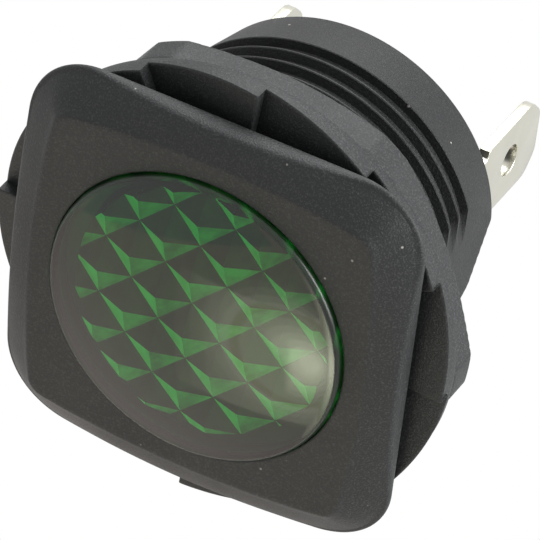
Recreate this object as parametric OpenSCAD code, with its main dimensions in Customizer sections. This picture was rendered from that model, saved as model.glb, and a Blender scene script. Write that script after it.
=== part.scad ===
// Panel pilot light: a square bezel with a round green lens, a ribbed barrel with
// two flats, a hexagon lock nut with a saw-tooth flange, and two 6.3 mm tab terminals.
// The origin is on the barrel's axis, in the plane of the bezel's back face.
// The lens faces -Y, the barrel runs along +Y and +Z is up.

/* [Bezel] */
// Width and height of the bezel across the middle of its sides
bezel_w = 30; // [28.5:0.5:36]
// How far each side bulges over its length
bezel_bulge = 0.25; // [0.1:0.05:0.6]
// Corner radius of the bezel
bezel_corner_r = 5.4; // [4.5:0.1:6.5]
// Thickness of the bezel at its flat middle
bezel_t = 2.4; // [2.2:0.1:4]
// Height of the wall round the edge of the bezel
bezel_edge_t = 0.8; // [0.5:0.1:2]
// Width of the soft slope between the flat middle and the edge
slope_w = 3.4; // [1.5:0.1:4]
// Width of the small bevel that breaks the edge of the bezel
edge_break = 0.4; // [0.1:0.05:0.6]

/* [Barrel] */
// Diameter over the ribs
barrel_d = 25.2; // [24.9:0.1:26.4]
// Length from the bezel's back face to the rear rim
barrel_len = 18.4; // [16.5:0.1:24]
// How far each side flat cuts into the barrel
flat_in = 0.85; // [0.7:0.05:1.1]
// Distance from rib to rib
rib_pitch = 1.4; // [1.2:0.05:1.8]
// Height of a rib over the groove
rib_h = 0.7; // [0.4:0.05:0.8]
// Width of a rib at its top
rib_top_w = 0.32; // [0.2:0.02:0.5]
// Width that the two sides of a rib add at its foot
rib_flare = 0.36; // [0.1:0.02:0.5]
// Length of the plain land behind the bezel
land_len = 1.2; // [0.6:0.1:2]
// Length of the plain tail behind the last groove
tail_len = 4.6; // [3.5:0.1:6]
// How far the tail narrows towards the rear rim, on the radius
tail_taper = 0.8; // [0.3:0.05:1]
// Radius round the rear rim
rim_r = 0.35; // [0.1:0.05:0.6]
// Thickness of the barrel's wall under the grooves
barrel_wall = 1.2; // [1:0.05:1.5]
// Thickness of the rear wall
rear_t = 2.2; // [1.2:0.1:3]
// Direction of the bevel on the tail, below the +X side
tail_bevel_turn = 13; // [0:1:30]
// How deep the bevel cuts in from the rim
tail_bevel_in = 0.6; // [0.2:0.05:0.8]
// How far the bevel runs forward from the rear rim
tail_bevel_len = 3.6; // [2:0.1:4]

/* [Lens] */
// Width of the ledge inside the bezel that the lens flange rests on
lens_ledge = 0.45; // [0.3:0.05:0.8]
// Height of the rounded shoulder round the lens
shoulder_h = 0.5; // [0.3:0.05:0.8]
// Width of that shoulder
shoulder_w = 0.4; // [0.2:0.05:0.6]
// Height of the domed face over its shoulder
dome_h = 1.3; // [0.6:0.1:2]
// Depth of the step inside the bezel that the lens flange rests on, from the panel plane
seat_in = 0.5; // [0.4:0.1:0.9]
// Distance from ridge to ridge of the prism pattern
pit_pitch = 3.26; // [2.4:0.02:4.4]
// Depth of each pyramid pit
pit_depth = 1.6; // [0.8:0.1:1.9]
// Width of the flat ridge left between two pits
pit_land = 0.1; // [0.06:0.02:0.3]
// Offset of the pattern along its first diagonal
pit_shift_u = -0.98; // [-1.6:0.02:1.6]
// Offset of the pattern along its second diagonal
pit_shift_v = 0.2; // [-1.6:0.02:1.6]
// Length of the skirt behind the lens
skirt_len = 2.2; // [1:0.1:3]
// Thickness of the skirt
skirt_t = 0.6; // [0.4:0.05:0.8]

/* [Lock nut] */
// Distance across the hexagon's flats
nut_flats = 30.7; // [30:0.1:32.6]
// Diameter of the toothed flange
flange_d = 34.5; // [33.5:0.1:35.4]
// Turn of the nut round the barrel
nut_turn = 4; // [-30:1:30]
// Gap between the tooth tips and the bezel's back face
nut_gap = 0.63; // [0.6:0.01:3]
// Height of a tooth
tooth_h = 1.07; // [0.5:0.01:1.4]
// Width of the flat at the tip of a tooth
tip_land = 0.12; // [0.1:0.02:0.4]
// Number of teeth round the flange
tooth_count = 12; // [8:1:18]
// Thickness of the flange behind the teeth
flange_t = 1.02; // [0.8:0.01:2]
// Length of the hexagon
hex_len = 3.64; // [3:0.02:5]
// Slope of the chamfer that turns off the hexagon's rear corners
chamfer_slope = 0.65; // [0.4:0.05:1]
// How far inside the hexagon's flats that chamfer starts
chamfer_in = 0.2; // [0.1:0.05:0.6]
// Bevel at the rear mouth of the nut's bore
mouth_bevel = 0.4; // [0.2:0.05:0.6]
// Clearance between the nut's bore and the ribs
nut_play = 0.06; // [0.04:0.01:0.1]

/* [Terminals] */
// Width of a tab
tab_w = 6.3; // [4.8:0.1:6.4]
// Thickness of a tab
tab_t = 0.8; // [0.5:0.1:1]
// Distance from the rear wall to the tip of a tab
tab_out = 12.2; // [11:0.1:16]
// Distance from the rear wall to the shoulders of a tab
tab_shoulder = 3.6; // [2:0.1:4]
// Width of the neck between the shoulders and the rear wall
neck_w = 4.8; // [4.2:0.1:5]
// Width of the shank that passes through the rear wall
shank_w = 3.8; // [3:0.1:4]
// Bevel on the corners of the tip, along the tab
tip_bevel = 1.6; // [0.8:0.1:2]
// Diameter of the hole in a tab
tab_hole_d = 2.4; // [1.4:0.1:2.6]
// Distance from the tip to the hole
tab_hole_in = 4.6; // [3.2:0.1:5]
// Gap between the bore's side and the tab that lies nearer to it
tab_inset = 0.25; // [0.2:0.05:0.6]
// How far the pair of tabs lies off the axis, towards -X
tab_shift = 0.55; // [0:0.05:0.8]
// Width of the tail inside the barrel
inner_w = 2.2; // [1.4:0.1:2.4]
// Length of the tail inside the barrel
inner_len = 3.6; // [3.4:0.1:4.5]

/* [Lamp] */
// Diameter of the glass bulb
lamp_d = 5.8; // [5:0.1:7]
// Length of the glass bulb with its rounded tip
lamp_len = 10.2; // [7:0.1:10.5]
// Diameter of the bulb's stem
stem_d = 4; // [3:0.1:4.4]
// Length of the stem
stem_len = 3; // [2.8:0.1:3.6]
// Height of the collar that holds the stem
collar_h = 1.9; // [1:0.1:2]
// Thickness of the collar's wall
collar_t = 1.1; // [0.8:0.1:1.4]
// Diameter of a lead wire
lead_d = 0.5; // [0.3:0.05:0.6]
// Distance from the rear wall to a lead wire
lead_z = 2.5; // [2.4:0.05:2.6]

/* [Hidden] */

fit_gap = 0.05;            // clearance of pieces that are pushed together
bury = 0.3;                // overlap of forms that are one moulding
over = 0.02;               // overshoot of a cut past the face that it opens
round_fn = 96;
side_steps = 6;            // straight runs along a bezel side
corner_steps = 10;         // straight runs round a bezel corner
slope_steps = 6;           // rings in the bezel's slope
slope_power = 2;           // softness of the slope where it meets the flat middle
shoulder_steps = 5;        // straight runs round the lens shoulder

bezel_h = bezel_w / 2;
side_r = (bezel_h * bezel_h + bezel_bulge * bezel_bulge) / (2 * bezel_bulge);
side_c = bezel_h - side_r;
// Centre of a corner arc that runs smoothly into both side arcs
corner_c = (side_c + sqrt(2 * pow(side_r - bezel_corner_r, 2) - side_c * side_c)) / 2;
side_turn = atan2(corner_c, corner_c - side_c);

barrel_r = barrel_d / 2;
root_r = barrel_r - rib_h;
tail_r = barrel_r - tail_taper;
flat_x = barrel_r - flat_in;
bore_r = root_r - barrel_wall;
groove_end = barrel_len - tail_len;
rib_last = groove_end + rib_top_w / 2 - rib_pitch;
rib_foot_w = rib_top_w + 2 * rib_flare / 2;
rib_count = floor((rib_last - land_len - rib_foot_w) / rib_pitch) + 1;
rear_in = barrel_len - rear_t;

lens_r = bore_r + lens_ledge;
lens_back = 0;
shoulder_r = lens_r - shoulder_w;
dome_r = (shoulder_r * shoulder_r + dome_h * dome_h) / (2 * dome_h);
lens_top = bezel_t + shoulder_h + dome_h;
skirt_r = bore_r - fit_gap;
field_r = skirt_r - skirt_t;
pit_w = pit_pitch - pit_land;
pit_reach = ceil(field_r / pit_pitch) + 1;

tip_z = nut_gap;
valley_z = tip_z + tooth_h;
parting_z = valley_z + flange_t;
nut_back = parting_z + hex_len;
flange_r = flange_d / 2;
hex_r = nut_flats / 2;
chamfer_r = hex_r - chamfer_in;
nut_bore_r = barrel_r + nut_play;
tooth_turn = 360 / tooth_count;

stem_r = stem_d / 2;
lamp_r = lamp_d / 2;
stem_front = rear_in - stem_len;
lead_r = lead_d / 2;
lead_y = rear_in - lead_z;
lead_grip = stem_r / 2;    // how deep a lead wire sits in the stem
lead_out = 0.1;            // how far a lead wire stands out behind its tab
tab_reach = bore_r - tab_inset - tab_shift - tab_t / 2;

// Turns a form drawn round the z axis so that the axis points to +Y
module along_barrel() {
    rotate([-90, 0, 0]) children();
}

// Turns a flat form so that it stands on the y axis and grows along x
module along_x(length) {
    rotate([90, 0, 90]) linear_extrude(length) children();
}

function arc(cx, cy, r, from, to, steps) = [
    for (i = [0:steps])
        let (a = from + (to - from) * i / steps)
        [cx + r * cos(a), cy + r * sin(a)]
];

// One quarter of the bezel's outline, from the middle of a corner's first side arc
function quarter(inset) = concat(
    arc(side_c, 0, side_r - inset, -side_turn, side_turn, side_steps),
    arc(corner_c, corner_c, bezel_corner_r - inset, side_turn, 90 - side_turn, corner_steps)
);

function turned(points, a) = [
    for (p = points) [p.x * cos(a) - p.y * sin(a), p.x * sin(a) + p.y * cos(a)]
];

module bezel_outline(inset) {
    polygon([
        for (k = [0:3])
            let (q = turned(quarter(inset), 90 * k))
            for (i = [0:len(q) - 2]) q[i]
    ]);
}

// Front surface of the bezel: how far it stands over the edge wall at a given inset
function slope_rise(inset) =
    (bezel_t - bezel_edge_t - edge_break / 2)
    * (1 - pow(1 - min(1, inset / slope_w), slope_power));

module bezel_layer(inset, height) {
    translate([0, 0, -height]) linear_extrude(over) bezel_outline(inset);
}

module bezel() {
    translate([0, 0, -bezel_edge_t + over]) linear_extrude(bezel_edge_t - over) bezel_outline(0);
    hull() {
        bezel_layer(0, bezel_edge_t - edge_break / 2);
        bezel_layer(edge_break / 3, bezel_edge_t);
        for (i = [1:slope_steps]) {
            inset = edge_break + (slope_w - edge_break) * i / slope_steps;
            bezel_layer(inset, bezel_edge_t + edge_break / 2 + slope_rise(inset));
        }
    }
}

// Points of one rib's section, from the bezel side to the rear
function rib(z) = [
    [root_r, z - rib_foot_w / 2],
    [barrel_r, z - rib_top_w / 2],
    [barrel_r, z + rib_top_w / 2],
    [root_r, z + rib_foot_w / 2]
];

module barrel() {
    difference() {
        intersection() {
            rotate_extrude($fn = round_fn) polygon(concat(
                [[0, -bury], [barrel_r, -bury], [barrel_r, land_len]],
                [[root_r, land_len + rib_flare / 2]],
                [for (i = [rib_count - 1:-1:0]) each rib(rib_last - rib_pitch * i)],
                [[root_r, groove_end - rib_flare / 2], [barrel_r, groove_end]],
                [[tail_r, barrel_len - rim_r], [tail_r - rim_r, barrel_len], [0, barrel_len]]
            ));
            translate([-flat_x, -barrel_r - over, -bury])
                cube([2 * flat_x, barrel_d + 2 * over, barrel_len + bury]);
        }
        tail_bevel();
    }
}

// A flat bevel on the tail, deepest at the rear rim
module tail_bevel() {
    rotate(tail_bevel_turn)
        translate([tail_r - tail_bevel_in, 0, barrel_len])
        rotate([0, -atan2(barrel_r - tail_r + tail_bevel_in, tail_bevel_len), 0])
        translate([0, -barrel_r, -2 * tail_bevel_len])
        cube([barrel_r, barrel_d, 3 * tail_bevel_len]);
}

module tab_slot(x) {
    translate([x - tab_t / 2 - fit_gap, -shank_w / 2 - fit_gap, rear_in - over])
        cube([tab_t + 2 * fit_gap, shank_w + 2 * fit_gap, rear_t + 2 * over]);
}

// Socket in the rear wall that holds the lamp's stem
module lamp_collar() {
    translate([0, 0, rear_in - collar_h]) difference() {
        cylinder(r = stem_r + fit_gap + collar_t, h = collar_h + bury, $fn = round_fn);
        translate([0, 0, -over]) cylinder(r = stem_r + fit_gap, h = collar_h + over, $fn = round_fn);
    }
}

module housing() {
    color([0.17, 0.17, 0.16]) along_barrel() {
        difference() {
            union() {
                bezel();
                barrel();
            }
            translate([0, 0, -lens_top])
                cylinder(r = lens_r + fit_gap, h = lens_top - seat_in, $fn = round_fn);
            translate([0, 0, -bezel_t])
                cylinder(r = bore_r, h = bezel_t + rear_in, $fn = round_fn);
            tab_slot(tab_reach - tab_shift);
            tab_slot(-tab_reach - tab_shift);
        }
        lamp_collar();
    }
}

// Parallel V-shaped bars, whose crossings with a second set are square pyramids
module pit_bars(shift) {
    for (i = [-pit_reach:pit_reach]) {
        translate([shift + i * pit_pitch, 0, 0])
            rotate([90, 0, 0])
            linear_extrude(2 * field_r + pit_pitch, center = true)
            polygon([
                [-pit_w / 2, over], [-pit_w / 2, 0], [0, -pit_depth],
                [pit_w / 2, 0], [pit_w / 2, over]
            ]);
    }
}

// The field of pyramid pits, with their points towards the front
module pits() {
    intersection() {
        rotate(45) pit_bars(pit_shift_u);
        rotate(45) rotate(90) pit_bars(pit_shift_v);
        translate([0, 0, -pit_depth - over])
            cylinder(r = field_r, h = pit_depth + 2 * over, $fn = round_fn);
    }
}

// Lens without its pits: flange, rounded shoulder, dome and hollow skirt
module lens_blank() {
    intersection() {
        rotate_extrude($fn = round_fn) polygon(concat(
            [[0, -lens_top], [shoulder_r, -lens_top]],
            [
                for (i = [0:shoulder_steps])
                    let (a = 90 * i / shoulder_steps)
                    [shoulder_r + shoulder_w * sin(a), -bezel_t - shoulder_h * cos(a)]
            ],
            [[lens_r, -seat_in], [skirt_r, -seat_in], [skirt_r, skirt_len]],
            [[field_r, skirt_len], [field_r, lens_back], [0, lens_back]]
        ));
        translate([0, 0, dome_r - lens_top]) sphere(r = dome_r, $fn = 2 * round_fn);
    }
}

module lens() {
    color([0.16, 0.5, 0.24, 0.7]) along_barrel() difference() {
        lens_blank();
        translate([0, 0, lens_back]) pits();
    }
}

// What is cut away in front of one ramp of the flange; the ramp rises to a radial tip
module ramp_cut() {
    pie_r = 1.1 * flange_r / cos(tooth_turn / 2);
    run = flange_r * sin(tooth_turn);
    intersection() {
        translate([0, 0, tip_z - over]) linear_extrude(1.5 * tooth_h + over) polygon([
            [0, 0], [pie_r, 0], [pie_r * cos(tooth_turn), -pie_r * sin(tooth_turn)]
        ]);
        along_x(pie_r) polygon([
            [-tip_land, tip_z - 2 * over], [-tip_land, tip_z],
            [-1.2 * run, tip_z + tooth_h * (1.2 * run - tip_land) / (run - tip_land)],
            [-1.2 * run, tip_z - 2 * over]
        ]);
    }
}

module lock_nut() {
    color([0.2, 0.2, 0.19]) along_barrel() difference() {
        rotate_extrude($fn = round_fn) polygon([
            [nut_bore_r, tip_z], [flange_r, tip_z],
            [flange_r, nut_back - (flange_r - chamfer_r) * chamfer_slope],
            [chamfer_r, nut_back], [nut_bore_r + mouth_bevel, nut_back],
            [nut_bore_r, nut_back - mouth_bevel]
        ]);
        for (k = [0:5]) rotate(nut_turn + 30 + 60 * k)
            translate([hex_r, -flange_r, parting_z])
            cube([flange_r, 2 * flange_r, hex_len + over]);
        for (k = [0:tooth_count - 1]) rotate(nut_turn + k * tooth_turn) ramp_cut();
    }
}

// Flat tab terminal: blade, shoulders, neck, shank through the wall and inner tail
module terminal(x) {
    tip = barrel_len + tab_out;
    color([0.8, 0.8, 0.77]) along_barrel() translate([x - tab_t / 2, 0, 0]) difference() {
        along_x(tab_t) polygon([
            [-inner_w / 2, rear_in - inner_len], [inner_w / 2, rear_in - inner_len],
            [inner_w / 2, rear_in], [shank_w / 2, rear_in],
            [shank_w / 2, barrel_len], [neck_w / 2, barrel_len],
            [neck_w / 2, barrel_len + tab_shoulder], [tab_w / 2, barrel_len + tab_shoulder],
            [tab_w / 2, tip - tip_bevel], [tab_w / 2 - tip_bevel, tip],
            [-tab_w / 2 + tip_bevel, tip], [-tab_w / 2, tip - tip_bevel],
            [-tab_w / 2, barrel_len + tab_shoulder], [-neck_w / 2, barrel_len + tab_shoulder],
            [-neck_w / 2, barrel_len], [-shank_w / 2, barrel_len],
            [-shank_w / 2, rear_in], [-inner_w / 2, rear_in]
        ]);
        translate([-over, 0, tip - tab_hole_in]) rotate([0, 90, 0])
            cylinder(d = tab_hole_d, h = tab_t + 2 * over, $fn = round_fn / 2);
        translate([-over, 0, lead_y]) rotate([0, 90, 0])
            cylinder(r = lead_r + fit_gap, h = tab_t + 2 * over, $fn = round_fn / 4);
    }
}

module terminal_right() {
    terminal(tab_reach - tab_shift);
}

module terminal_left() {
    terminal(-tab_reach - tab_shift);
}

module lamp() {
    color([0.85, 0.88, 0.9, 0.6]) along_barrel() difference() {
        union() {
            translate([0, 0, stem_front - lamp_len + lamp_r]) sphere(r = lamp_r, $fn = round_fn);
            translate([0, 0, stem_front - lamp_len + lamp_r])
                cylinder(r = lamp_r, h = lamp_len - lamp_r, $fn = round_fn);
            translate([0, 0, stem_front - bury])
                cylinder(r = stem_r, h = stem_len + bury, $fn = round_fn);
        }
        for (side = [0, 180]) rotate(side) translate([stem_r - lead_grip, 0, lead_y]) rotate([0, 90, 0])
            cylinder(r = lead_r + fit_gap / 2, h = stem_r, $fn = round_fn / 4);
    }
}

// Lead wire from the lamp's stem into the hole in a terminal's tail
module lead(length) {
    color([0.75, 0.75, 0.72]) along_barrel() translate([stem_r - lead_grip, 0, lead_y])
        rotate([0, 90, 0]) cylinder(r = lead_r, h = length, $fn = round_fn / 4);
}

module lead_right() {
    lead(tab_reach - tab_shift + tab_t / 2 + lead_out - stem_r + lead_grip);
}

module lead_left() {
    rotate([0, 180, 0])
        lead(tab_reach + tab_shift + tab_t / 2 + lead_out - stem_r + lead_grip);
}

housing();
lens();
lock_nut();
terminal_right();
terminal_left();
lamp();
lead_right();
lead_left();
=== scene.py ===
import math

import bmesh
import bpy
import numpy as np
from mathutils import Matrix, Vector


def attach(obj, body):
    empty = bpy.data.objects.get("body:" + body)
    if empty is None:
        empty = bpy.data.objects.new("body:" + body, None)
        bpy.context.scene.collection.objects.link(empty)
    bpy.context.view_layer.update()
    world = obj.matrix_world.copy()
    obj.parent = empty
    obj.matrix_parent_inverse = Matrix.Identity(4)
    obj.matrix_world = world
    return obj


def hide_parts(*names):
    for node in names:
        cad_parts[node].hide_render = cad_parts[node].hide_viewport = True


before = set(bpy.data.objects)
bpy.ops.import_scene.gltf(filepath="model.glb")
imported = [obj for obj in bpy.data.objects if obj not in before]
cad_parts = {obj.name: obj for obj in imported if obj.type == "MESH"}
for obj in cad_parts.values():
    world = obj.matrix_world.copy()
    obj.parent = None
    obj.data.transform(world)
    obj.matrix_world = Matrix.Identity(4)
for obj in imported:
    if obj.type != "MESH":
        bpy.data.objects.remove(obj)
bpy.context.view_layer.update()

MM = 0.001

# ---------------------------------------------------------------- sizes, in mm
# Forms are laid out round the barrel's axis: x to the right, y down and z back
# from the panel plane. place() turns them into the frame of the part.
BEZEL_HALF = 15.0
BEZEL_BULGE = 0.04
BEZEL_CORNER = 5.22
BEZEL_T = 2.4
WALL_MIDDLE = 1.47
WALL_CORNER = 0.34
WALL_FALL = 0.0086
WALL_BLEND = 0.3
CREASE_INSET = 0.3
FIELD_HALF = 12.75
FIELD_BULGE = 1.1
FIELD_CORNER = 1.3
# rounding of the bezel's outer edge, as (inset, share of the wall's height)
EDGE_ROUND = ((0.22, 0.94), (0.15, 0.86), (0.09, 0.75), (0.04, 0.61), (0.01, 0.45), (0, 0.28), (0, 0.12))

BARREL_R = 12.6
BARREL_LEN = 18.4
ROOT_R = 11.9
BORE_R = 10.7
FLAT_X = 11.75
TAIL_R = 11.8
REAR_ROUND = 0.35
GROOVE_END = 13.8
RIB_COUNT = 8
RIB_PITCH = 1.4
RIB_TOP = 0.17
RIB_FOOT = 0.68
LAND_LEN = 1.2
REAR_IN = 16.2
COLLAR_IN_R = 2.05
COLLAR_OUT_R = 3.15
COLLAR_LEN = 1.9
# a sloped flat on the tail: its direction in degrees, its depth at the rear and its slope
BEVEL_TURN = 13
BEVEL_X = 11.2
BEVEL_SLOPE = 1.4 / 3.6
FLAT_BLEND = 0.05

LENS_R = 11.15
LENS_GAP = 0.05
LENS_SEAT = -0.5
LENS_SIDE = -1.6
SKIRT_END = 2.2
SHOULDER_H = 0.5
SHOULDER_W = 0.4
DOME_H = 1.3
PIT_PITCH = 3.2
PIT_DEPTH = 1.6
PIT_LAND = 0.06
PIT_SHIFT = (-0.84, 0.06)
PIT_REACH = 5
FIELD_R = 9.25

TOOTH_COUNT = 12
TOOTH_STEP = 360 / TOOTH_COUNT
NUT_TIP = 0.63
NUT_TOOTH = 1.07
TOOTH_FLAT = 0.12
STEP_ROUND = 0.05
NUT_PARTING = 2.72
NUT_BACK = 6.36
NUT_R = 17.08
NUT_FLAT = 15.35
NUT_BORE = 12.66
BORE_BREAK = 0.08
NUT_TURN = 4.0
CONE_R = 15.15
CONE_SLOPE = 0.65
# the flange's front edge stands slightly proud of its side, as (radius, depth behind the teeth)
FLANGE_EDGE = ((17.1, 0.0), (17.19, 0.03), (17.24, 0.08))

TAB_T = 0.8
TAB_X = {"terminal_right": 8.95, "terminal_left": -10.05}
TAB_TIP = 30.25
TAB_HALF = 3.15
TAB_SHOULDER = 21.6
TAB_BREAK = 0.06
NECK_HALF = 2.4
FOOT_HALF = 1.9
INNER_HALF = 1.1
INNER_END = 12.6
HOLE_R = 1.2
HOLE_AT = 25.85
# the tip's round corner, as (in from the side, back from the tip)
TIP_CORNER = ((0, 2.1), (0.07, 1.6), (0.31, 1.1), (1.05, 0.34), (1.4, 0.1), (1.75, 0))
SLOT_GAP = 0.05
CUT_PAST = 0.5

WELD = 1e-7
SLIVER = 1e-8


def place(points):
    p = np.asarray(points, float)
    return np.stack([p[..., 0], p[..., 2], -p[..., 1]], -1) * MM


# ---------------------------------------------------------------- mesh helpers
def add_object(name, mesh, body, node, material):
    obj = bpy.data.objects.new(name, mesh)
    bpy.context.scene.collection.objects.link(obj)
    mesh.materials.clear()
    mesh.materials.append(material)
    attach(obj, body)
    if node:
        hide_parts(node)
    return obj


def smooth(mesh, angle):
    mesh.polygons.foreach_set("use_smooth", [True] * len(mesh.polygons))
    mesh.set_sharp_from_angle(angle=math.radians(angle))
    mesh.update()


def clean(mesh, weld=0, sliver=0):
    """Joins doubled points and drops slivers where asked, and turns all faces outward."""
    bm = bmesh.new()
    bm.from_mesh(mesh)
    if weld:
        bmesh.ops.remove_doubles(bm, verts=bm.verts, dist=weld)
    if sliver:
        bmesh.ops.dissolve_degenerate(bm, dist=sliver, edges=bm.edges)
    bmesh.ops.recalc_face_normals(bm, faces=bm.faces)
    bm.to_mesh(mesh)
    bm.free()
    return mesh


def full_turn(count):
    return np.linspace(0, 2 * math.pi, count, endpoint=False)


def loops_mesh(name, loops, joined=False):
    """A closed skin through loops of equal length. Where joined, the last loop meets the first;
    otherwise each end is closed by a fan round its middle."""
    loops = [np.asarray(loop, float) for loop in loops]
    n = len(loops[0])
    verts = [p for loop in loops for p in place(loop)]
    faces = []
    rows = len(loops)
    for j in range(rows if joined else rows - 1):
        a, b = j * n, ((j + 1) % rows) * n
        for i in range(n):
            k = (i + 1) % n
            faces.append((a + i, a + k, b + k, b + i))
    if not joined:
        for row in (0, rows - 1):
            verts.append(place(loops[row].mean(0)))
            middle = len(verts) - 1
            for i in range(n):
                faces.append((row * n + i, row * n + (i + 1) % n, middle))
    mesh = bpy.data.meshes.new(name)
    mesh.from_pydata([tuple(v) for v in verts], [], faces)
    return clean(mesh, WELD, SLIVER)


def carve(target, cutters, operation="DIFFERENCE"):
    """Booleans each cutter mesh into the target mesh and gives the result."""
    base = bpy.data.objects.new("carved", target)
    bpy.context.scene.collection.objects.link(base)
    tools = []
    for cutter in cutters:
        tool = bpy.data.objects.new("cutter", cutter)
        bpy.context.scene.collection.objects.link(tool)
        tools.append(tool)
        cut = base.modifiers.new("cut", "BOOLEAN")
        cut.operation = operation
        cut.solver = "EXACT"
        cut.object = tool
    graph = bpy.context.evaluated_depsgraph_get()
    result = bpy.data.meshes.new_from_object(base.evaluated_get(graph))
    for obj in [base] + tools:
        bpy.data.objects.remove(obj)
    return result


def soft_min(a, b, width):
    """The smaller of two values, with a rounded change from one to the other."""
    h = np.clip(0.5 + 0.5 * (b - a) / width, 0, 1)
    return b * (1 - h) + a * h - width * h * (1 - h)


# ---------------------------------------------------------------- bezel outline
def outline_radius(inset, angles, half=BEZEL_HALF, bulge=BEZEL_BULGE, round_r=BEZEL_CORNER):
    """Polar radius of a square with bowed sides and round corners, drawn in by inset."""
    side_r = (half * half + bulge ** 2) / (2 * bulge)
    side_c = half - side_r
    corner_c = (side_c + math.sqrt(2 * (side_r - round_r) ** 2 - side_c ** 2)) / 2
    turn = math.atan2(corner_c, corner_c - side_c)
    a = np.linspace(-turn, turn, 60)
    side = np.stack([side_c + (side_r - inset) * np.cos(a), (side_r - inset) * np.sin(a)], 1)
    a = np.linspace(turn, math.pi / 2 - turn, 80)[1:-1]
    r = round_r - inset
    corner = np.stack([corner_c + r * np.cos(a), corner_c + r * np.sin(a)], 1)
    quarter = np.concatenate([side, corner])
    angle = np.arctan2(quarter[:, 1], quarter[:, 0])
    radius = np.hypot(quarter[:, 0], quarter[:, 1])
    first = angle[0]
    local = (angles - first) % (math.pi / 2) + first
    angle = np.append(angle, first + math.pi / 2)
    return np.interp(local, angle, np.append(radius, radius[0]))


def ring(angles, radius, depth):
    """A loop round the axis; radius and depth are one value or one for each angle."""
    radius = np.broadcast_to(np.asarray(radius, float), angles.shape)
    depth = np.broadcast_to(np.asarray(depth, float), angles.shape)
    return np.stack([radius * np.cos(angles), radius * np.sin(angles), depth], 1)


# ---------------------------------------------------------------- housing
def wall_height(radius):
    """The wall is highest at the middle of each side and low at the corners."""
    height = WALL_MIDDLE - WALL_FALL * (radius ** 2 - BEZEL_HALF ** 2)
    return -soft_min(-height, np.full(radius.shape, -WALL_CORNER), WALL_BLEND)


def barrel_section():
    """Outer section of the barrel as (radius, depth), from the bezel to the rear rim."""
    pts = [(BARREL_R + 0.12, 0.0), (BARREL_R + 0.03, 0.04), (BARREL_R, 0.13)]
    pts += [(BARREL_R, 0.6), (BARREL_R, LAND_LEN - 0.05), (BARREL_R - 0.05, LAND_LEN + 0.02)]
    pts += [(ROOT_R + 0.05, LAND_LEN + 0.17), (ROOT_R, LAND_LEN + 0.22)]
    last = GROOVE_END + RIB_TOP / 2 - RIB_PITCH
    for i in reversed(range(RIB_COUNT)):
        z = last - i * RIB_PITCH
        foot, top = RIB_FOOT / 2, RIB_TOP / 2
        pts += [(ROOT_R, z - foot - 0.05), (ROOT_R + 0.05, z - foot + 0.01)]
        pts += [(BARREL_R - 0.06, z - top - 0.03), (BARREL_R, z - top + 0.04)]
        pts += [(BARREL_R, z + top - 0.04), (BARREL_R - 0.06, z + top + 0.03)]
        pts += [(ROOT_R + 0.05, z + foot - 0.01), (ROOT_R, z + foot + 0.05)]
    pts += [(ROOT_R, GROOVE_END - 0.22), (ROOT_R + 0.05, GROOVE_END - 0.17)]
    pts += [(BARREL_R - 0.06, GROOVE_END - 0.03), (BARREL_R - 0.01, GROOVE_END + 0.04)]
    tail_end = BARREL_LEN - REAR_ROUND
    for s in np.arange(1, 13) / 12:
        pts.append((BARREL_R + (TAIL_R - BARREL_R) * s, GROOVE_END + (tail_end - GROOVE_END) * s))
    for a in np.radians((18, 36, 54, 72, 90)):
        pts.append((TAIL_R - REAR_ROUND * (1 - math.cos(a)), BARREL_LEN - REAR_ROUND * (1 - math.sin(a))))
    return pts


def inner_loops(angles):
    """The stem's collar, the rear wall, the bore and the lens's seat, from the axis outward."""
    hole = LENS_R + LENS_GAP
    section = [(COLLAR_IN_R, REAR_IN), (COLLAR_IN_R, REAR_IN - COLLAR_LEN)]
    section += [(COLLAR_OUT_R, REAR_IN - COLLAR_LEN), (COLLAR_OUT_R, REAR_IN)]
    section += [(BORE_R, REAR_IN), (BORE_R, 6.0), (BORE_R, LENS_SEAT), (hole, LENS_SEAT)]
    section += [(hole, -BEZEL_T + 0.14), (hole + 0.04, -BEZEL_T + 0.05), (hole + 0.14, -BEZEL_T)]
    return [ring(angles, r, z) for r, z in section]


def bezel_loops(angles):
    """The flat field, the slope from its crease to the edge, and the wall to the back."""
    wall = wall_height(outline_radius(0, angles))
    field = outline_radius(0, angles, FIELD_HALF, FIELD_BULGE, FIELD_CORNER)
    crease = outline_radius(CREASE_INSET, angles)
    inner = LENS_R + LENS_GAP + 0.2
    loops = []
    for i in range(6):
        loops.append(ring(angles, inner + (field - 0.3 - inner) * i / 5, -BEZEL_T))
    for t in np.arange(17) / 16:
        fall = (BEZEL_T - wall) * (0.86 * t + 0.14 * t ** 3) * min(1, 0.35 + 4 * t)
        loops.append(ring(angles, field + (crease - field) * t, -BEZEL_T + fall))
    for inset, share in EDGE_ROUND:
        loops.append(ring(angles, outline_radius(inset, angles), -wall * share))
    loops.append(ring(angles, outline_radius(0.03, angles), -0.03))
    loops.append(ring(angles, outline_radius(0.1, angles), 0))
    return loops


def barrel_loops(angles):
    """The ribbed barrel with its two flats, the tail with its bevel, and the rear face."""
    across = np.maximum(np.abs(np.cos(angles)), 1e-3)
    toward = np.maximum(np.cos(angles - math.radians(BEVEL_TURN)), 1e-3)
    loops = []
    for r, z in barrel_section():
        radius = np.full(angles.shape, r)
        if z > 0.3:
            radius = soft_min(radius, FLAT_X / across, FLAT_BLEND)
        if z > GROOVE_END + 0.1:
            bevel = (BEVEL_X + (BARREL_LEN - z) * BEVEL_SLOPE) / toward
            radius = soft_min(radius, bevel, FLAT_BLEND)
        loops.append(ring(angles, radius, z))
    for r in (8.0, 4.0):
        loops.append(ring(angles, r, BARREL_LEN))
    return loops


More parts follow.
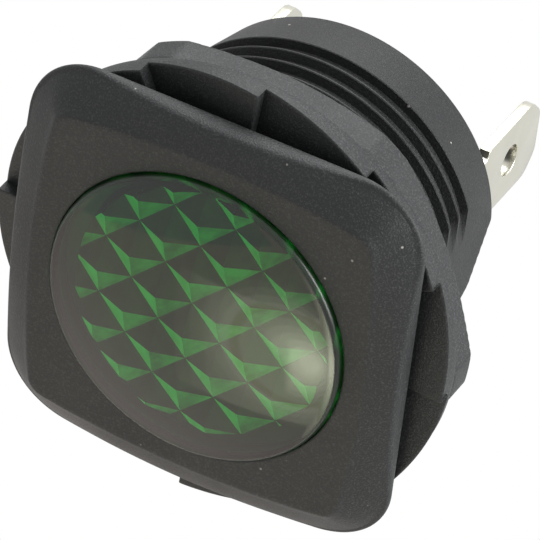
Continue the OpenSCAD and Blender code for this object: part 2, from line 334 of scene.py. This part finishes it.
def housing_mesh():
    angles = full_turn(480)
    shell = loops_mesh("housing_shell", inner_loops(angles) + bezel_loops(angles) + barrel_loops(angles))
    across, down = TAB_T / 2 + SLOT_GAP, FOOT_HALF + SLOT_GAP
    front, rear = REAR_IN - CUT_PAST, BARREL_LEN + CUT_PAST
    slots = [block_mesh((x - across, -down, front), (x + across, down, rear)) for x in TAB_X.values()]
    mesh = carve(shell, slots)
    smooth(mesh, 28)
    return mesh


def block_mesh(low, high):
    ends = (low, high)
    corners = [[ends[i & 1][0], ends[i >> 1 & 1][1], ends[i >> 2][2]] for i in range(8)]
    mesh = bpy.data.meshes.new("block")
    faces = [(0, 1, 3, 2), (4, 6, 7, 5), (0, 4, 5, 1), (2, 3, 7, 6), (0, 2, 6, 4), (1, 5, 7, 3)]
    mesh.from_pydata([tuple(v) for v in place(corners)], [], faces)
    return clean(mesh)


# ---------------------------------------------------------------- lock nut
def flange_front(degrees, radius):
    """Depth of the toothed front at a polar angle and radius."""
    back = (NUT_TURN - degrees) % TOOTH_STEP
    t = radius * np.sin(np.radians(back))
    run = NUT_R * math.sin(math.radians(TOOTH_STEP))
    depth = NUT_TIP + NUT_TOOTH * np.maximum(t - TOOTH_FLAT, 0) / (run - TOOTH_FLAT)
    return depth + STEP_ROUND * np.exp(-back / 0.25)


def nut_degrees():
    """One angle a degree, with close ones at each tooth's step instead of the one on it."""
    degrees = set(np.arange(0, 360, 1.0).round(3))
    for k in range(TOOTH_COUNT):
        step = NUT_TURN + TOOTH_STEP * k
        degrees -= {step % 360}
        for d in (-0.7, -0.45, -0.25, -0.1, -0.03, 0.03, 0.2):
            degrees.add(round((step + d) % 360, 3))
    return np.array(sorted(degrees))


def nut_mesh():
    degrees = nut_degrees()
    angles = np.radians(degrees)
    hexagon = NUT_FLAT / np.cos(np.radians((degrees - NUT_TURN) % 60 - 30))
    hexagon = soft_min(hexagon, np.full(angles.shape, NUT_R), 0.06)
    loops = []
    for r in (NUT_BORE + BORE_BREAK, 13.3, 14.2, 15.1, 15.9, 16.6, 17.0):
        loops.append(ring(angles, r, flange_front(degrees, r)))
    front = flange_front(degrees, NUT_R)
    for r, lift in FLANGE_EDGE + ((NUT_R, 0.15),):
        loops.append(ring(angles, r, np.minimum(front + lift, NUT_PARTING - 0.2)))
    for r, z in ((NUT_R, 2.2), (NUT_R, NUT_PARTING - 0.09), (NUT_R - 0.03, NUT_PARTING - 0.03)):
        loops.append(ring(angles, r, z))
    # the parting step, from the round flange to the hexagon
    loops.append(ring(angles, np.maximum(hexagon, NUT_R - 0.1) - 0.03, NUT_PARTING))
    loops.append(ring(angles, np.minimum(hexagon + 0.08, NUT_R - 0.04), NUT_PARTING + 0.01))
    loops.append(ring(angles, np.minimum(hexagon + 0.01, NUT_R - 0.02), NUT_PARTING + 0.07))
    # the hexagon, its corners cut by the cone, closer rings toward the back
    for z in (2.95, 3.4, 4.0, 4.5, 4.8, 5.0, 5.15, 5.3, 5.45, 5.6, 5.75, 5.9, 6.05, 6.15, 6.22, 6.28, 6.33):
        cone = np.full(angles.shape, CONE_R + (NUT_BACK - z) / CONE_SLOPE)
        loops.append(ring(angles, soft_min(hexagon, cone, 0.12), z))
    for r, z in ((15.02, 6.352), (14.9, NUT_BACK), (13.2, NUT_BACK), (13.06, 6.33), (12.72, 6.0)):
        loops.append(ring(angles, r, z))
    for r, z in ((NUT_BORE, 5.9), (NUT_BORE, 3.0)):
        loops.append(ring(angles, r, z))
    loops.append(ring(angles, NUT_BORE, flange_front(degrees, NUT_BORE) + BORE_BREAK))
    mesh = loops_mesh("lock_nut_skin", loops, joined=True)
    smooth(mesh, 30)
    return mesh


# ---------------------------------------------------------------- lens
def lens_mesh():
    angles = full_turn(288)
    shoulder_r = LENS_R - SHOULDER_W
    dome_r = (shoulder_r ** 2 + DOME_H ** 2) / (2 * DOME_H)
    top = -(BEZEL_T + SHOULDER_H + DOME_H)
    skirt_r = BORE_R - LENS_GAP
    loops = []
    for i in range(1, 31):
        r = shoulder_r * i / 30
        loops.append(ring(angles, r, top + dome_r - math.sqrt(dome_r ** 2 - r * r)))
    for i in range(1, 9):
        a = math.radians(90 * i / 8)
        depth = -BEZEL_T - SHOULDER_H * math.cos(a)
        loops.append(ring(angles, shoulder_r + SHOULDER_W * math.sin(a), depth))
    for r, z in [(LENS_R, LENS_SIDE), (LENS_R, LENS_SEAT), (skirt_r, LENS_SEAT), (skirt_r, SKIRT_END)]:
        loops.append(ring(angles, r, z))
    for r, z in [(FIELD_R, SKIRT_END), (FIELD_R, 0.0), (5.0, 0.0)]:
        loops.append(ring(angles, r, z))
    blank = loops_mesh("lens_blank", loops)
    mesh = carve(blank, [pit_mesh()])
    smooth(mesh, 20)
    return mesh


def sort_lens_faces(mesh):
    """Gives each family of pit walls, and the rear of the lens, its own material index, so that each
    carries its own painted reflection or painted shade.
    """
    for face in mesh.polygons:
        x, y, z = face.center / MM
        n = face.normal
        out = math.hypot(x, z)
        along, across = n.x + n.z, n.x - n.z
        if abs(n.y) < 0.9 and out < FIELD_R - 0.02 and y > -PIT_DEPTH - 0.05:
            if abs(along) > abs(across):
                face.material_index = 1 if along > 0 else 3
            else:
                face.material_index = 2 if across < 0 else 4
        elif y > LENS_SEAT - 0.1 and (n.y > 0.5 or out < LENS_R - 0.05):
            face.material_index = 5


def pit_mesh():
    """Square pyramid pits on a diagonal lattice, inside the skirt."""
    half = (PIT_PITCH - PIT_LAND) / 2
    c = math.sqrt(0.5)
    verts, faces = [], []
    for i in range(-PIT_REACH, PIT_REACH + 1):
        for j in range(-PIT_REACH, PIT_REACH + 1):
            u, v = PIT_SHIFT[0] + (i + 0.5) * PIT_PITCH, PIT_SHIFT[1] + (j + 0.5) * PIT_PITCH
            if math.hypot(u, v) > FIELD_R + PIT_PITCH * 0.7:
                continue
            s = len(verts)
            for depth in (0.0, 0.4):
                for du, dv in ((-1, -1), (1, -1), (1, 1), (-1, 1)):
                    a, b = u + du * half, v + dv * half
                    verts.append(((a - b) * c, (a + b) * c, depth))
            verts.append(((u - v) * c, (u + v) * c, -PIT_DEPTH))
            for k in range(4):
                m = (k + 1) % 4
                faces.append((s + k, s + m, s + 8))
                faces.append((s + k, s + 4 + k, s + 4 + m, s + m))
            faces.append((s + 4, s + 7, s + 6, s + 5))
    mesh = bpy.data.meshes.new("pits")
    mesh.from_pydata([tuple(p) for p in place(verts)], [], faces)
    clean(mesh)
    angles = full_turn(288)
    limit = FIELD_R - 0.01
    field = loops_mesh("field", [ring(angles, limit, -PIT_DEPTH - 0.3), ring(angles, limit, 0.3)])
    return carve(mesh, [field], "INTERSECT")


# ---------------------------------------------------------------- terminals
def tab_mesh(name):
    """The flat tab with its hole, cut edges slightly rounded, standing on its edge."""
    side = [
        (INNER_HALF, INNER_END), (INNER_HALF, REAR_IN), (FOOT_HALF, REAR_IN), (FOOT_HALF, BARREL_LEN),
        (NECK_HALF, BARREL_LEN), (NECK_HALF, TAB_SHOULDER), (NECK_HALF + 0.15, TAB_SHOULDER + 0.3),
        (TAB_HALF - 0.3, TAB_SHOULDER + 0.4), (TAB_HALF - 0.1, TAB_SHOULDER + 0.48),
        (TAB_HALF, TAB_SHOULDER + 0.7)
    ]
    side += [(TAB_HALF - inward, TAB_TIP - back) for inward, back in TIP_CORNER]
    outline = side + [(-y, z) for y, z in reversed(side)]
    hole = [(HOLE_R * math.cos(a), HOLE_AT + HOLE_R * math.sin(a)) for a in full_turn(48)]
    curve = bpy.data.curves.new(name, "CURVE")
    curve.dimensions = "2D"
    curve.fill_mode = "BOTH"
    curve.extrude = (TAB_T / 2 - TAB_BREAK) * MM
    curve.bevel_depth = TAB_BREAK * MM
    curve.offset = -TAB_BREAK * MM
    curve.bevel_resolution = 2
    for points in (outline, hole):
        spline = curve.splines.new("POLY")
        spline.points.add(len(points) - 1)
        for point, (y, z) in zip(spline.points, points):
            point.co = (y * MM, z * MM, 0, 1)
        spline.use_cyclic_u = True
    obj = bpy.data.objects.new(name, curve)
    bpy.context.scene.collection.objects.link(obj)
    graph = bpy.context.evaluated_depsgraph_get()
    mesh = bpy.data.meshes.new_from_object(obj.evaluated_get(graph))
    bpy.data.objects.remove(obj)
    # flat x is the tab's width (down), flat y its length (back), flat z its thickness (right)
    mesh.transform(Matrix(((0, 0, 1, TAB_X[name] * MM), (0, 1, 0, 0), (-1, 0, 0, 0), (0, 0, 0, 1))))
    clean(mesh, WELD)
    smooth(mesh, 35)
    return mesh


# ---------------------------------------------------------------- materials
SOOT = (0.0105, 0.0122, 0.0128)
DUST = (0.42, 0.41, 0.38)


def new_material(name):
    material = bpy.data.materials.new(name)
    material.use_nodes = True
    nodes, links = material.node_tree.nodes, material.node_tree.links
    return material, nodes, links, nodes["Principled BSDF"]


def group_node(nodes, group, **values):
    node = nodes.new("ShaderNodeGroup")
    node.node_tree = group
    for key, value in values.items():
        node.inputs[key.replace("_", " ")].default_value = value
    return node


def grain_group():
    """Spark-eroded mould grain: a height and a mask of its high points."""
    group = bpy.data.node_groups.new("mould_grain", "ShaderNodeTree")
    face = group.interface
    for name, value in (("Size", 0.00022), ("Depth", 1.0)):
        face.new_socket(name, in_out="INPUT", socket_type="NodeSocketFloat").default_value = value
    face.new_socket("Height", in_out="OUTPUT", socket_type="NodeSocketFloat")
    face.new_socket("Mask", in_out="OUTPUT", socket_type="NodeSocketFloat")
    nodes, links = group.nodes, group.links
    source, sink = nodes.new("NodeGroupInput"), nodes.new("NodeGroupOutput")
    coords = nodes.new("ShaderNodeTexCoord")
    scale = nodes.new("ShaderNodeMath")
    scale.operation = "DIVIDE"
    scale.inputs[0].default_value = 1.0
    links.new(source.outputs["Size"], scale.inputs[1])
    fine = nodes.new("ShaderNodeTexNoise")
    fine.inputs["Detail"].default_value = 2.5
    fine.inputs["Roughness"].default_value = 0.6
    links.new(coords.outputs["Object"], fine.inputs["Vector"])
    links.new(scale.outputs[0], fine.inputs["Scale"])
    height = nodes.new("ShaderNodeMath")
    height.operation = "MULTIPLY"
    links.new(fine.outputs["Fac"], height.inputs[0])
    links.new(source.outputs["Depth"], height.inputs[1])
    mask = nodes.new("ShaderNodeMapRange")
    mask.inputs["From Min"].default_value = 0.5
    mask.inputs["From Max"].default_value = 0.72
    links.new(fine.outputs["Fac"], mask.inputs["Value"])
    links.new(height.outputs[0], sink.inputs["Height"])
    links.new(mask.outputs["Result"], sink.inputs["Mask"])
    return group


def dust_group():
    """Sparse pale specks of dust, as a mask."""
    group = bpy.data.node_groups.new("dust_specks", "ShaderNodeTree")
    face = group.interface
    for name, value in (("Spacing", 0.0016), ("Amount", 0.5)):
        face.new_socket(name, in_out="INPUT", socket_type="NodeSocketFloat").default_value = value
    face.new_socket("Mask", in_out="OUTPUT", socket_type="NodeSocketFloat")
    nodes, links = group.nodes, group.links
    source, sink = nodes.new("NodeGroupInput"), nodes.new("NodeGroupOutput")
    coords = nodes.new("ShaderNodeTexCoord")
    scale = nodes.new("ShaderNodeMath")
    scale.operation = "DIVIDE"
    scale.inputs[0].default_value = 1.0
    links.new(source.outputs["Spacing"], scale.inputs[1])
    cells = nodes.new("ShaderNodeTexVoronoi")
    links.new(coords.outputs["Object"], cells.inputs["Vector"])
    links.new(scale.outputs[0], cells.inputs["Scale"])
    dot = nodes.new("ShaderNodeMapRange")
    dot.inputs["From Min"].default_value = 0.075
    dot.inputs["From Max"].default_value = 0.035
    links.new(cells.outputs["Distance"], dot.inputs["Value"])
    keep = nodes.new("ShaderNodeMath")
    keep.operation = "LESS_THAN"
    parts = nodes.new("ShaderNodeSeparateColor")
    links.new(cells.outputs["Color"], parts.inputs["Color"])
    links.new(parts.outputs["Red"], keep.inputs[0])
    links.new(source.outputs["Amount"], keep.inputs[1])
    both = nodes.new("ShaderNodeMath")
    both.operation = "MULTIPLY"
    links.new(dot.outputs["Result"], both.inputs[0])
    links.new(keep.outputs[0], both.inputs[1])
    links.new(both.outputs[0], sink.inputs["Mask"])
    return group


def mix_color(nodes, links, factor, first, second):
    """A colour between two others, each given as a socket or as red, green and blue."""
    mix = nodes.new("ShaderNodeMix")
    mix.data_type = "RGBA"
    links.new(factor, mix.inputs["Factor"])
    a, b = [s for s in mix.inputs if s.type == "RGBA"][:2]
    for socket, value in ((a, first), (b, second)):
        if hasattr(value, "is_output"):
            links.new(value, socket)
        else:
            socket.default_value = (*value, 1)
    return [s for s in mix.outputs if s.type == "RGBA"][0]


def black_plastic(name, bright, depth, dust_amount, painted_shade_keep):
    """Grained black moulding. Behind the panel plane its colour is painted darker, as painted shade behind
    the bezel; the last argument is how much of its colour it keeps there.
    """
    material, nodes, links, shader = new_material(name)
    marks = group_node(nodes, mould_grain, Size=0.00013, Depth=1.0)
    specks = group_node(nodes, dust_specks, Spacing=0.0015, Amount=dust_amount)
    coords = nodes.new("ShaderNodeTexCoord")
    cloud = nodes.new("ShaderNodeTexNoise")
    cloud.inputs["Scale"].default_value = 260
    cloud.inputs["Detail"].default_value = 3
    links.new(coords.outputs["Object"], cloud.inputs["Vector"])
    tone = mix_color(nodes, links, marks.outputs["Mask"], SOOT, bright)
    position = nodes.new("ShaderNodeSeparateXYZ")
    links.new(coords.outputs["Object"], position.inputs[0])
    # painted shade: the colour is mixed toward black behind the panel plane, as shade behind the bezel
    behind = nodes.new("ShaderNodeMapRange")
    behind.inputs["From Min"].default_value = 0.0002
    behind.inputs["From Max"].default_value = 0.0006
    behind.inputs["To Max"].default_value = 1 - painted_shade_keep
    links.new(position.outputs["Y"], behind.inputs["Value"])
    painted_shade_tone = mix_color(nodes, links, behind.outputs["Result"], tone, (0.0, 0.0, 0.0))
    dusty = mix_color(nodes, links, specks.outputs["Mask"], painted_shade_tone, DUST)
    links.new(dusty, shader.inputs["Base Color"])
    rough = nodes.new("ShaderNodeMapRange")
    rough.inputs["To Min"].default_value = 0.46
    rough.inputs["To Max"].default_value = 0.60
    links.new(cloud.outputs["Fac"], rough.inputs["Value"])
    links.new(rough.outputs["Result"], shader.inputs["Roughness"])
    bump = nodes.new("ShaderNodeBump")
    bump.inputs["Strength"].default_value = depth
    bump.inputs["Distance"].default_value = 0.00006
    links.new(marks.outputs["Height"], bump.inputs["Height"])
    links.new(bump.outputs["Normal"], shader.inputs["Normal"])
    shader.inputs["Specular IOR Level"].default_value = 0.36
    return material


def green_lens():
    """Clear green moulding, polished in front and frosted on its rim."""
    material, nodes, links, shader = new_material("green_lens")
    coords = nodes.new("ShaderNodeTexCoord")
    streaks = nodes.new("ShaderNodeTexNoise")
    streaks.inputs["Scale"].default_value = 300
    links.new(coords.outputs["Object"], streaks.inputs["Vector"])
    tint = mix_color(nodes, links, streaks.outputs["Fac"], (0.045, 0.50, 0.10), (0.06, 0.56, 0.13))
    links.new(tint, shader.inputs["Base Color"])
    flat = nodes.new("ShaderNodeVectorMath")
    flat.operation = "MULTIPLY"
    flat.inputs[1].default_value = (1, 0, 1)
    links.new(coords.outputs["Object"], flat.inputs[0])
    radius = nodes.new("ShaderNodeVectorMath")
    radius.operation = "LENGTH"
    links.new(flat.outputs["Vector"], radius.inputs[0])
    frost = nodes.new("ShaderNodeMapRange")
    frost.inputs["From Min"].default_value = 0.01072
    frost.inputs["From Max"].default_value = 0.01095
    frost.inputs["To Min"].default_value = 0.03
    frost.inputs["To Max"].default_value = 0.3
    links.new(radius.outputs["Value"], frost.inputs["Value"])
    links.new(frost.outputs["Result"], shader.inputs["Roughness"])
    shader.inputs["IOR"].default_value = 1.5
    shader.inputs["Transmission Weight"].default_value = 1.0
    return material


def lens_wall(name, dark, light, roughness, streak):
    """A pit wall as it shows through the green, opaque, its brightness painted in as painted reflection or
    painted shade: streaked, cloudy and a little shiny.
    """
    material, nodes, links, shader = new_material(name)
    coords = nodes.new("ShaderNodeTexCoord")
    stretch = nodes.new("ShaderNodeMapping")
    stretch.inputs["Rotation"].default_value = (0, math.radians(45), 0)
    stretch.inputs["Scale"].default_value = (1.0, 1.0, streak)
    links.new(coords.outputs["Object"], stretch.inputs["Vector"])
    cloud = nodes.new("ShaderNodeTexNoise")
    cloud.inputs["Scale"].default_value = 420
    cloud.inputs["Detail"].default_value = 4
    cloud.inputs["Roughness"].default_value = 0.6
    links.new(stretch.outputs["Vector"], cloud.inputs["Vector"])
    spread = nodes.new("ShaderNodeMapRange")
    spread.inputs["From Min"].default_value = 0.34
    spread.inputs["From Max"].default_value = 0.66
    links.new(cloud.outputs["Fac"], spread.inputs["Value"])
    tint = mix_color(nodes, links, spread.outputs["Result"], dark, light)
    links.new(tint, shader.inputs["Base Color"])
    shader.inputs["Roughness"].default_value = roughness
    shader.inputs["Specular IOR Level"].default_value = 0.3
    return material


def tinned_brass():
    """Tin over rolled strip, with fine lines along its length."""
    material, nodes, links, shader = new_material("tinned_brass")
    coords = nodes.new("ShaderNodeTexCoord")
    stretch = nodes.new("ShaderNodeMapping")
    stretch.inputs["Scale"].default_value = (1, 0.12, 1)
    links.new(coords.outputs["Object"], stretch.inputs["Vector"])
    drawn = nodes.new("ShaderNodeTexNoise")
    drawn.inputs["Scale"].default_value = 9000
    drawn.inputs["Detail"].default_value = 3
    links.new(stretch.outputs["Vector"], drawn.inputs["Vector"])
    blotch = nodes.new("ShaderNodeTexNoise")
    blotch.inputs["Scale"].default_value = 500
    links.new(coords.outputs["Object"], blotch.inputs["Vector"])
    tint = mix_color(nodes, links, blotch.outputs["Fac"], (0.54, 0.53, 0.46), (0.62, 0.61, 0.53))
    links.new(tint, shader.inputs["Base Color"])
    rough = nodes.new("ShaderNodeMapRange")
    rough.inputs["To Min"].default_value = 0.26
    rough.inputs["To Max"].default_value = 0.36
    links.new(drawn.outputs["Fac"], rough.inputs["Value"])
    links.new(rough.outputs["Result"], shader.inputs["Roughness"])
    bump = nodes.new("ShaderNodeBump")
    bump.inputs["Strength"].default_value = 0.25
    bump.inputs["Distance"].default_value = 0.00002
    links.new(drawn.outputs["Fac"], bump.inputs["Height"])
    links.new(bump.outputs["Normal"], shader.inputs["Normal"])
    shader.inputs["Metallic"].default_value = 1.0
    return material


def lamp_glass():
    """Clear glass with a thin grey film."""
    material, nodes, links, shader = new_material("lamp_glass")
    coords = nodes.new("ShaderNodeTexCoord")
    film = nodes.new("ShaderNodeTexNoise")
    film.inputs["Scale"].default_value = 700
    links.new(coords.outputs["Object"], film.inputs["Vector"])
    tint = mix_color(nodes, links, film.outputs["Fac"], (0.80, 0.82, 0.82), (0.93, 0.94, 0.93))
    links.new(tint, shader.inputs["Base Color"])
    shader.inputs["Roughness"].default_value = 0.05
    shader.inputs["Transmission Weight"].default_value = 0.9
    return material


# ---------------------------------------------------------------- the pieces
mould_grain = grain_group()
dust_specks = dust_group()
# last argument: share of colour kept behind the panel plane, the rest painted shade there (none on the nut)
bezel_black = black_plastic("bezel_black", (0.050, 0.053, 0.053), 0.8, 0.35, 0.45)
nut_black = black_plastic("nut_black", (0.052, 0.055, 0.055), 0.9, 0.25, 1.0)
lens_green = green_lens()
tin = tinned_brass()

housing = add_object("housing_skin", housing_mesh(), "light", "housing", bezel_black)
lock_nut = add_object("lock_nut_skin", nut_mesh(), "nut", "lock_nut", nut_black)
lens = add_object("lens_prisms", lens_mesh(), "light", "lens", lens_green)
# pit walls and rear, opaque, with painted reflection on the left and low walls and painted shade on the
# right and high walls and on the rear: name, dark and light colour, roughness, stretch of the streaks
painted_lens_walls = (
    ("pit_wall_left_painted_reflection", (0.20, 0.85, 0.34), (0.50, 1.0, 0.62), 0.5, 0.35),
    ("pit_wall_low_painted_reflection", (0.05, 0.27, 0.10), (0.17, 0.66, 0.25), 0.5, 0.5),
    ("pit_wall_right_painted_shade", (0.022, 0.024, 0.006), (0.070, 0.062, 0.018), 0.45, 1.0),
    ("pit_wall_high_painted_shade", (0.018, 0.022, 0.006), (0.060, 0.054, 0.018), 0.45, 1.0),
    ("lens_rear_painted_shade", (0.006, 0.050, 0.024), (0.012, 0.085, 0.040), 0.4, 1.0),
)
for wall in painted_lens_walls:
    lens.data.materials.append(lens_wall(*wall))
sort_lens_faces(lens.data)
for tab in TAB_X:
    piece = add_object(tab + "_strip", tab_mesh(tab), "light", tab, tin)
for node, material in (("lamp", lamp_glass()), ("lead_right", tin), ("lead_left", tin)):
    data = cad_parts[node].data
    data.materials.clear()
    data.materials.append(material)


# ---------------------------------------------------------------- light and camera
FRONT_DISTANCE = 0.6
# panels laid over each other, each smaller than the last, make one soft-edged glow
STEP_LAMPS = 3
STEP_COLOR = (1.0, 0.97, 0.74)
GLOW_LAMPS = 12
GLOW_COLOR = (0.97, 1.0, 0.76)


def soft_lamp(name, location, size, power, color=(1, 1, 1)):
    """A panel at a place in metres, turned toward the origin."""
    data = bpy.data.lights.new(name, "AREA")
    data.shape = "RECTANGLE"
    data.size, data.size_y = size
    data.energy = power
    data.color = color
    lamp = bpy.data.objects.new(name, data)
    lamp.location = location
    lamp.rotation_mode = "QUATERNION"
    lamp.rotation_quaternion = (-Vector(location)).to_track_quat("-Z", "Y")
    bpy.context.scene.collection.objects.link(lamp)
    return lamp


def room_light():
    """A pale grey room that cameras, metal and glass see as white."""
    world = bpy.data.worlds.new("studio")
    bpy.context.scene.world = world
    world.use_nodes = True
    nodes, links = world.node_tree.nodes, world.node_tree.links
    back = nodes["Background"]
    back.inputs["Color"].default_value = (0.80, 0.79, 0.77, 1)
    back.inputs["Strength"].default_value = 0.38
    white = nodes.new("ShaderNodeBackground")
    white.inputs["Color"].default_value = (1, 1, 1, 1)
    path = nodes.new("ShaderNodeLightPath")
    mix = nodes.new("ShaderNodeMixShader")
    seen = path.outputs["Is Camera Ray"]
    for name in ("Is Glossy Ray", "Is Transmission Ray"):
        either = nodes.new("ShaderNodeMath")
        either.operation = "MAXIMUM"
        links.new(seen, either.inputs[0])
        links.new(path.outputs[name], either.inputs[1])
        seen = either.outputs[0]
    links.new(seen, mix.inputs[0])
    links.new(back.outputs[0], mix.inputs[1])
    links.new(white.outputs[0], mix.inputs[2])
    links.new(mix.outputs[0], nodes["World Output"].inputs["Surface"])


def camera():
    data = bpy.data.cameras.new("view")
    data.sensor_width = 36
    data.lens = 436.2
    data.clip_start, data.clip_end = 0.02, 5
    eye = bpy.data.objects.new("view", data)
    right = (0.8726005, 0.4781532, 0.0996889)
    up = (-0.3660410, 0.5050426, 0.7816303)
    back = (0.3233919, -0.7185412, 0.6157241)
    turn = Matrix((right, up, back)).transposed()
    eye.rotation_mode = "QUATERNION"
    eye.rotation_quaternion = turn.to_quaternion()
    eye.location = (0.1447752, -0.3129607, 0.2725860)
    bpy.context.scene.collection.objects.link(eye)
    bpy.context.scene.camera = eye


def front_lamp(name, azimuth, elevation, width, height, radiance, color, shape="RECTANGLE", roll=0):
    """A panel seen from the lens at the given angles, of the given angular size."""
    a, e = math.radians(azimuth), math.radians(elevation)
    spot = (math.sin(a) * math.cos(e), -math.cos(a) * math.cos(e), math.sin(e))
    spot = [FRONT_DISTANCE * v for v in spot]
    size = [2 * FRONT_DISTANCE * math.tan(math.radians(v / 2)) for v in (width, height)]
    lamp = soft_lamp(name, spot, size, radiance * math.pi * size[0] * size[1], color)
    lamp.data.shape = shape
    lamp.rotation_quaternion @= Matrix.Rotation(math.radians(roll), 3, "Z").to_quaternion()


room_light()
soft_lamp("top_soft", (-0.06, 0.24, 0.39), (0.36, 0.30), 2.6)
soft_lamp("right_soft", (0.44, 0.06, 0.16), (0.30, 0.30), 3.6)
front_lamp("front_panel", -27, -46, 66, 46, 0.34, (1.0, 0.60, 0.36), roll=18)
front_lamp("front_low", -35, -84, 120, 40, 0.24, (1.0, 0.66, 0.46))
for i in range(STEP_LAMPS):
    front_lamp("front_step_%d" % i, -8 + 1.3 * i, -38.5, 29 - 3 * i, 24, 0.22, STEP_COLOR)
for i in range(GLOW_LAMPS):
    size = (27 - 2.15 * i, 31 - 2.45 * i)
    front_lamp("front_glow_%d" % i, -6 + 0.65 * i, -36, *size, 0.06 + 0.10 * i, GLOW_COLOR, "ELLIPSE")
camera()
bpy.context.scene.view_settings.view_transform = "Standard"
